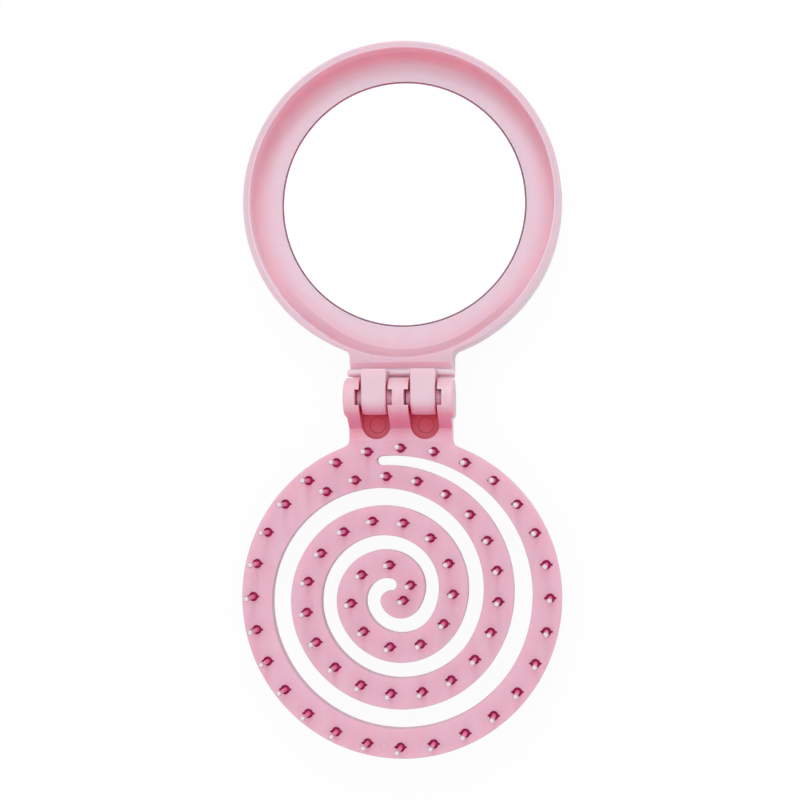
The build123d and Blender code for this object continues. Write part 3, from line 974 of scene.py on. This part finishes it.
def brushDisc():
    # everything up to a seam just short of the pockets; the hinge block goes on from there
    bm = bmesh.new()
    seam = plate["seam"] - brushMiddle.y
    top, under, low = plate["top"], plate["underside"], plateLow.z
    # the disc and its neck are as wide as the lid's, and turned round
    disc = discAndCorners(discRadius, lid["neckHalf"], lid["neckCorner"])
    outline = cutAt([-p for p in disc], seam)
    hollow = cutAt(arc((0, 0), discRadius - plate["skirt"], 90, 450, plate["hollowSegments"]), seam)
    edgeSteps = roundSteps(low, top, plate["footRound"], plate["edgeRound"])
    edge = addWall(bm, outline, edgeSteps, middle=brushMiddle, closed=False)
    inner = addWall(bm, hollow, [(0, low), (0, under)], middle=brushMiddle, closed=False)
    slot = turnedFor(slotOutline(0), True)
    slotSteps = roundSteps(low, top, plate["footRound"], plate["slotRound"])
    slotEdge = addWall(bm, slot, slotSteps, middle=brushMiddle)
    # the plate's edges and slot walls take the copy with painted shade
    for face in bm.faces:
        face.material_index = plateZone["edge"]
    slotSkirt = addWall(bm, slot, [(plate["skirt"], low), (plate["skirt"], under)], middle=brushMiddle)
    joinLoops(bm, slotEdge[0], slotSkirt[0])
    edgeFaces = set(bm.faces)
    turns = plate["holeFootRound"], plate["holeRound"], plate["holeRoundSteps"]
    holeSteps = roundSteps(under, top, *turns)
    places = ringHoles + spiralHoles
    holes = [addWall(bm, turnedFor(notchedHole(p), True), holeSteps, middle=brushMiddle) for p in places]
    # the holes take the copy with painted shade
    for face in set(bm.faces) - edgeFaces:
        face.material_index = plateZone["hole"]
    # caps on top, under the plate and on the foot
    fillBetween(bm, [edge[-1]] + [wall[-1] for wall in holes] + [slotEdge[-1]])
    fillBetween(bm, [inner[-1]] + [wall[0] for wall in holes] + [slotSkirt[-1]])
    foot = edgesAlong(bm, edge[0], False) + edgesAlong(bm, inner[0], False)
    for end in (0, -1):
        foot += edgesAlong(bm, [edge[0][end], inner[0][end]], False)
    fillEdges(bm, foot)
    return bm


def backCover():
    bm = bmesh.new()
    inset = plate["skirt"] + plate["coverGap"]
    outlines = [circle(discRadius - inset, plate["coverSegments"]), slotOutline(inset)]
    addSlab(bm, outlines, coverLow.z, coverHigh.z, plate["coverRound"], middle=brushMiddle)
    return bm


def hingeBlock():
    # knuckles, pockets and neck of the brush, with moulded roundings on their edges
    bm = bmesh.new()
    bm.from_mesh(frame["nodes"]["brush_plate"].data)
    bmesh.ops.remove_doubles(bm, verts=bm.verts, dist=hinge["looseWeld"] * mm)
    cutAcross(bm, plate["seam"] + plate["seamGap"], -1, clear_outer=True)
    flat = radians(hinge["flatAngle"])
    bmesh.ops.dissolve_limit(bm, angle_limit=flat, verts=bm.verts, edges=bm.edges)
    holder = linkObject("hingeBlockHolder", meshOf("hingeBlock", bm))
    bevel = holder.modifiers.new("roundings", "BEVEL")
    bevel.width = hinge["blockRound"] * mm
    bevel.segments = hinge["roundSteps"]
    bevel.limit_method = "ANGLE"
    bevel.angle_limit = radians(hinge["sharpAngle"])
    return appliedMesh(holder)


def hingeZone(place, normal):
    # which copy of the plastic a face of the hinge block shows, each with its own painted shade or painted
    # light
    fromArm = abs(abs(place.x) - hinge["armPlaces"][1])
    nearAxis = abs(place.y) < hinge["bearingReach"]
    outside = abs(place.x) > hinge["armPlaces"][1] + hinge["bearingHalf"]
    steep = abs(normal.z) < hinge["steepBelow"]
    upright = abs(normal.z) < hinge["uprightBelow"]
    sideways = abs(normal.x) > hinge["sidewaysAbove"]
    pocketFloor = normal.z > hinge["steepBelow"] and place.z < plate["underside"]
    if fromArm < hinge["pocketHalf"] and (steep or pocketFloor):
        return plateZone["pocket"]
    if hinge["pocketHalf"] < fromArm < hinge["bearingHalf"] and steep and nearAxis:
        return plateZone["recess"]
    if outside and (sideways or place.y < hinge["knuckleStart"] and upright):
        return plateZone["edge"]
    raised = place.z > plate["top"] + hinge["footRise"] or place.y > hinge["slopeFoot"] + hinge["footRun"]
    onBlock = place.y > hinge["slopeFoot"] and (normal.z > 0 or place.y > hinge["knuckleStart"])
    return plateZone["hinge" if raised and onBlock else "plate"]


def brushPlate():
    # disc and hinge block grown together at the seam
    bm = brushDisc()
    discFaces = set(bm.faces)
    bm.from_mesh(hingeBlock())
    for face in set(bm.faces) - discFaces:
        face.material_index = hingeZone(face.calc_center_median() / mm, face.normal)
    bmesh.ops.recalc_face_normals(bm, faces=bm.faces)
    bmesh.ops.bridge_loops(bm, edges=[edge for edge in bm.edges if edge.is_boundary])
    print("open edges of the brush plate:", sum(not edge.is_manifold for edge in bm.edges))
    return bm


plateMesh = meshOf("brushPlate", brushPlate())
coverMesh = meshOf("backCover", backCover())
plateLooks, sharp = platePlastics.values(), plate["sharpAngle"]
makePiece("brushPlate", plateMesh, plateLooks, "brush", ["brush_plate"], sharp)
makePiece("backCover", coverMesh, [platePlastic], "brush", ["back_cover"], sharp)
print("stage: brush plate, cover and hinge block")


# bristles
def bristleTree():
    # one headed bristle with a ball on its tip, stood on every point it is given
    tree = newGroup("standBristles", "GeometryNodeTree", (
        ("Places", "Geometry"),
        ("Tip", "Float", 0.01),
        ("Root Radius", "Float", 0.0008),
        ("Neck Radius", "Float", 0.0005),
        ("Ball Radius", "Float", 0.0008),
        ("Head Radius", "Float", 0.001),
        ("Head Height", "Float", 0.001),
        ("Sides", "Int", 16),
        ("Rings", "Int", 40),
        ("Lean", "Float", 0.01),
        ("Seed", "Int", 1),
        ("Material", "Material"),
    ), (("Bristles", "Geometry"),))
    given = addNode(tree, "NodeGroupInput", (-1400, 0)).outputs
    # a straight line up to the tip, and the radius wanted at each height along it
    tip = addNode(tree, "ShaderNodeCombineXYZ", (-1100, 150), {"Z": given["Tip"]}).outputs[0]
    line = addNode(tree, "GeometryNodeCurvePrimitiveLine", (-900, 300), {"End": tip})
    rings = {"Curve": line.outputs[0], "Count": given["Rings"]}
    fine = addNode(tree, "GeometryNodeResampleCurve", (-700, 300), rings)
    share = addNode(tree, "GeometryNodeSplineParameter", (-1100, -100)).outputs["Factor"]
    height = addMath(tree, "MULTIPLY", (-900, -150), share, given["Tip"])
    # stem: from the root radius to the neck radius
    narrowing = addMath(tree, "SUBTRACT", (-900, -300), given["Root Radius"], given["Neck Radius"])
    lost = addMath(tree, "MULTIPLY", (-700, -250), narrowing, share)
    stem = addMath(tree, "SUBTRACT", (-500, -250), given["Root Radius"], lost)
    # ball: a circle's height above the middle of the ball
    middle = addMath(tree, "SUBTRACT", (-700, -400), given["Tip"], given["Ball Radius"])
    above = addMath(tree, "SUBTRACT", (-500, -400), height, middle)
    square = addMath(tree, "MULTIPLY", (-300, -400), above, above)
    whole = addMath(tree, "MULTIPLY", (-500, -550), given["Ball Radius"], given["Ball Radius"])
    rest = addMath(tree, "MAXIMUM", (50, -400), addMath(tree, "SUBTRACT", (-100, -400), whole, square), 0.0)
    ball = addMath(tree, "SQRT", (200, -400), rest)
    below = addMath(tree, "LESS_THAN", (-300, -250), above, 0.0)
    shaft = addMath(tree, "MAXIMUM", (200, -200), ball, addMath(tree, "MULTIPLY", (-100, -200), stem, below))
    # head: the wide foot that holds the bristle under the plate
    inHead = addMath(tree, "LESS_THAN", (-100, -50), height, given["Head Height"])
    head = addMath(tree, "MULTIPLY", (50, -50), inHead, given["Head Radius"])
    section = addNode(tree, "GeometryNodeCurvePrimitiveCircle", (400, 50), {"Resolution": given["Sides"]})
    skin = addNode(tree, "GeometryNodeCurveToMesh", (600, 300), {
        "Curve": fine.outputs[0],
        "Profile Curve": section.outputs[0],
        "Scale": addMath(tree, "MAXIMUM", (300, -100), shaft, head),
        "Fill Caps": True,
    })
    closed = addNode(tree, "GeometryNodeMergeByDistance", (680, 450), {
        "Geometry": skin.outputs[0],
        "Distance": bristles["tipWeld"] * mm,
    })
    smooth = addNode(tree, "GeometryNodeSetShadeSmooth", (750, 300), {0: closed.outputs[0]})
    # each stands at its place with a very slight lean of its own
    back = addMath(tree, "MULTIPLY", (400, -500), given["Lean"], -1.0)
    low, high = [addNode(tree, "ShaderNodeCombineXYZ", (600, y), {"X": lean, "Y": lean}).outputs[0]
                 for y, lean in ((-400, back), (-550, given["Lean"]))]
    leans = {"Min": low, "Max": high, "Seed": given["Seed"]}
    turn = addNode(tree, "FunctionNodeRandomValue", (800, -400), leans, data_type="FLOAT_VECTOR")
    stand = addNode(tree, "GeometryNodeInstanceOnPoints", (950, 200), {
        "Points": given["Places"],
        "Instance": smooth.outputs[0],
        "Rotation": turn.outputs["Value"],
    })
    real = addNode(tree, "GeometryNodeRealizeInstances", (1150, 200), {0: stand.outputs[0]})
    paint = addNode(tree, "GeometryNodeSetMaterial", (1350, 200), {
        "Geometry": real.outputs[0],
        "Material": given["Material"],
    })
    addNode(tree, "NodeGroupOutput", (1550, 200), {0: paint.outputs[0]})
    return tree


standBristles = bristleTree()


def bristleField(name, places, nodes):
    foot = ringLow.z
    points = [(brushMiddle + Vector((p.x, p.y, foot))) * mm for p in places]
    mesh = bpy.data.meshes.new(name + "Places")
    mesh.from_pydata(points, [], [])
    holder = linkObject(name + "Holder", mesh)
    modifier = holder.modifiers.new("bristles", "NODES")
    modifier.node_group = standBristles
    values = {
        "Tip": (ringHigh.z - foot) * mm,
        "Root Radius": bristles["rootRadius"] * mm,
        "Neck Radius": bristles["neckRadius"] * mm,
        "Ball Radius": bristles["ballRadius"] * mm,
        "Head Radius": bristles["headRadius"] * mm,
        "Head Height": bristles["headHeight"] * mm,
        "Sides": bristles["sides"],
        "Rings": bristles["rings"],
        "Lean": radians(bristles["lean"]),
        "Seed": bristles["seed"],
        "Material": bristlePlastic,
    }
    for item in standBristles.interface.items_tree:
        if item.in_out == "INPUT" and item.name in values:
            modifier[item.identifier] = values[item.name]
    makePiece(name, appliedMesh(holder), [], "brush", nodes, bristles["sharpAngle"])


bristleField("bristlesRing", ringHoles, ["bristles_ring"])
bristleField("bristlesSpiral", spiralHoles, ["bristles_first_turn", "bristles_second_turn", "bristles_core"])
print("stage: bristles")

# floor, light and camera
ground = {"size": 4.0, "pale": 0.95, "grain": 0.01, "grainScale": 300.0, "ownWhite": 0.94, "below": 0.02}


def floorPlane():
    material, tree, surface = newMaterial("paleFloor")
    tree.nodes.remove(surface)
    grain = addNode(tree, "ShaderNodeTexNoise", (-900, 100), {"Scale": ground["grainScale"]})
    spread = addNode(tree, "ShaderNodeMapRange", (-650, 100), {
        "Value": grain.outputs["Fac"],
        "To Min": ground["pale"] - ground["grain"],
        "To Max": ground["pale"],
    })
    matt = addNode(tree, "ShaderNodeBsdfDiffuse", (-400, 100), {"Color": spread.outputs["Result"]})
    white = addNode(tree, "ShaderNodeEmission", (-400, -100))
    seen = addNode(tree, "ShaderNodeLightPath", (-900, -200)).outputs
    direct = addMath(tree, "MAXIMUM", (-650, -200), seen["Is Camera Ray"], seen["Is Glossy Ray"])
    mix = addNode(tree, "ShaderNodeMixShader", (-150, 0), {
        0: addMath(tree, "MULTIPLY", (-450, -250), direct, ground["ownWhite"]),
        1: matt.outputs[0],
        2: white.outputs[0],
    })
    feed(tree, tree.nodes["Material Output"], {"Surface": mix.outputs[0]})
    bm = bmesh.new()
    justBelow = Matrix.Translation((0, 0, -ground["below"] * mm))
    bmesh.ops.create_grid(bm, x_segments=2, y_segments=2, size=ground["size"] / 2, matrix=justBelow)
    mesh = bpy.data.meshes.new("floor")
    bm.to_mesh(mesh)
    bm.free()
    mesh.materials.append(material)
    linkObject("floor", mesh)


floorPlane()

lights = {
    "world": 0.8,
    "softboxes": {
        "topSoftbox": {"place": (0.0, 0.8, 0.8), "size": 0.35, "power": 2.5},
        "overheadSoftbox": {"place": (0.0, 0.1, 1.2), "size": 1.0, "power": 1.4},
    },
}


def addLights():
    world = bpy.data.worlds.new("studio")
    bpy.context.scene.world = world
    world.use_nodes = True
    tree = world.node_tree
    seen = addNode(tree, "ShaderNodeLightPath", (-700, 0)).outputs
    level = addNode(tree, "ShaderNodeMapRange", (-300, 0), {
        "Value": seen["Is Camera Ray"],
        "To Min": lights["world"],
        "To Max": 1.0,
    })
    feed(tree, tree.nodes["Background"], {"Color": (1, 1, 1, 1), "Strength": level.outputs["Result"]})
    for name, softbox in lights["softboxes"].items():
        data = bpy.data.lights.new(name, "AREA")
        data.shape = "DISK"
        data.size = softbox["size"]
        data.energy = softbox["power"]
        lamp = linkObject(name, data)
        lamp.location = softbox["place"]
        lamp.rotation_euler = (-lamp.location).to_track_quat("-Z", "Y").to_euler()


addLights()

view = {
    "place": (51.1, -19.6, 449.1),
    "turn": (-0.0209, -0.0938, 0.0025),
    "focalPixels": 1774.1,
    "frame": 800,
    "middle": (440, 440),
    "sensor": 36.0,
    "clip": (0.01, 20),
}


def addCamera():
    data = bpy.data.cameras.new("camera")
    data.sensor_width = view["sensor"]
    data.lens = view["focalPixels"] / view["frame"] * view["sensor"]
    data.shift_x = (view["frame"] / 2 - view["middle"][0]) / view["frame"]
    data.shift_y = (view["middle"][1] - view["frame"] / 2) / view["frame"]
    data.clip_start, data.clip_end = view["clip"]
    camera = linkObject("camera", data)
    aboutX, aboutY, aboutZ = [Matrix.Rotation(a, 3, n) for a, n in zip(view["turn"], "XYZ")]
    turned = (aboutZ @ aboutY @ aboutX).transposed().to_4x4()
    camera.matrix_world = Matrix.Translation(Vector(view["place"]) * mm) @ turned
    bpy.context.scene.camera = camera


addCamera()
bpy.context.scene.view_settings.view_transform = "Standard"
print("stage: floor, light and camera")
